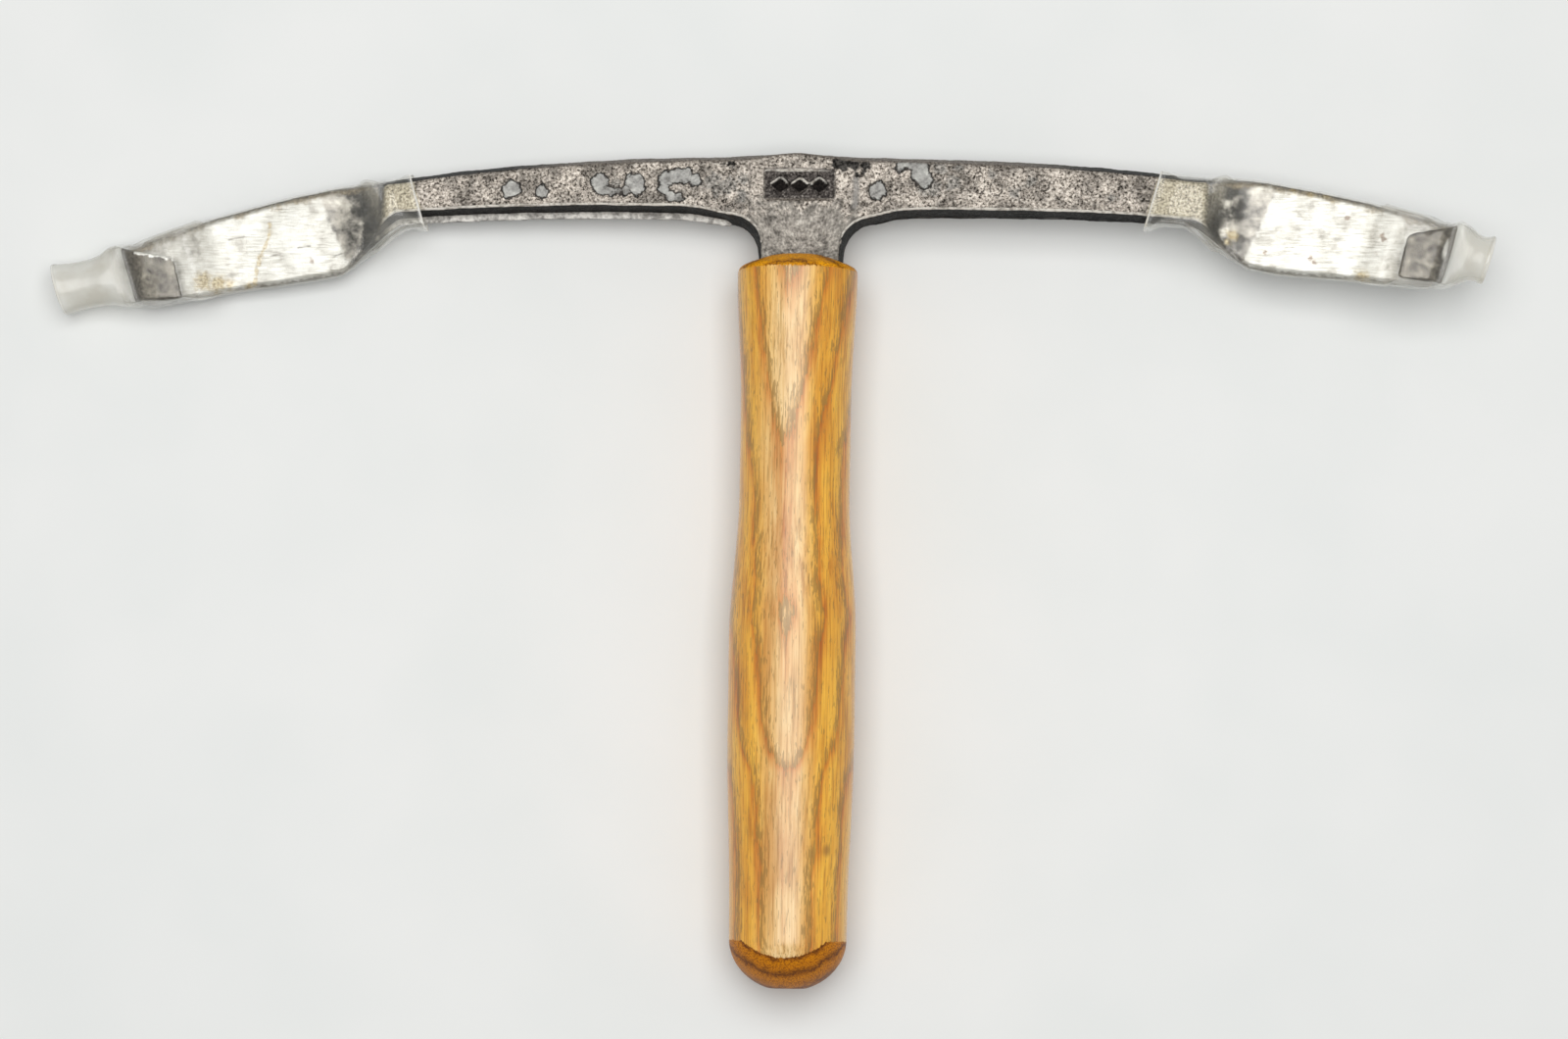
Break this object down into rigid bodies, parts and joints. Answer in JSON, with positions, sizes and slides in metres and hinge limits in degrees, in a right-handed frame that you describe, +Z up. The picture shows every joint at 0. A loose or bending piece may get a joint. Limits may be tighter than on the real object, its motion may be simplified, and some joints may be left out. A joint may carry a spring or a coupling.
{
  "type": "shingle ripper",
  "caption": "Hand-forged cross head with a broad hooked blade at each end, clear sleeves pulled over the blades, and a short round ash handle.",
  "frame": {"origin": "bottom centre of the box round the whole tool as it lies on a bench, rolled on its round handle until the free end of the left sleeve touches", "axes": "+X along the head towards the right blade, +Y up the handle from the butt to the head, +Z up off the bench, towards the front of the tool"},
  "size_m": [0.4452, 0.257, 0.039],
  "materials": {
    "forged_steel": "forged, pitted, oiled",
    "ash_wood": "turned, lacquered",
    "bedding_resin": "cast",
    "clear_vinyl": "clear, slightly milky"
  },
  "bodies": {
    "tool": {"head": "forged_steel", "handle": "ash_wood", "tang_bed": "bedding_resin"},
    "left_sleeve": {"left_sleeve": "clear_vinyl"},
    "right_sleeve": {"right_sleeve": "clear_vinyl"}
  },
  "joints": [
    {"name": "left_sleeve_slide", "type": "slide", "parent": "tool", "child": "left_sleeve", "axis": [-0.9715, -0.2368, 0], "range_m": [0, 0.11], "deforming": ["left_sleeve"]},
    {"name": "right_sleeve_slide", "type": "slide", "parent": "tool", "child": "right_sleeve", "axis": [0.9829, -0.1788, 0.0448], "range_m": [0, 0.11], "deforming": ["right_sleeve"]}
  ]
}
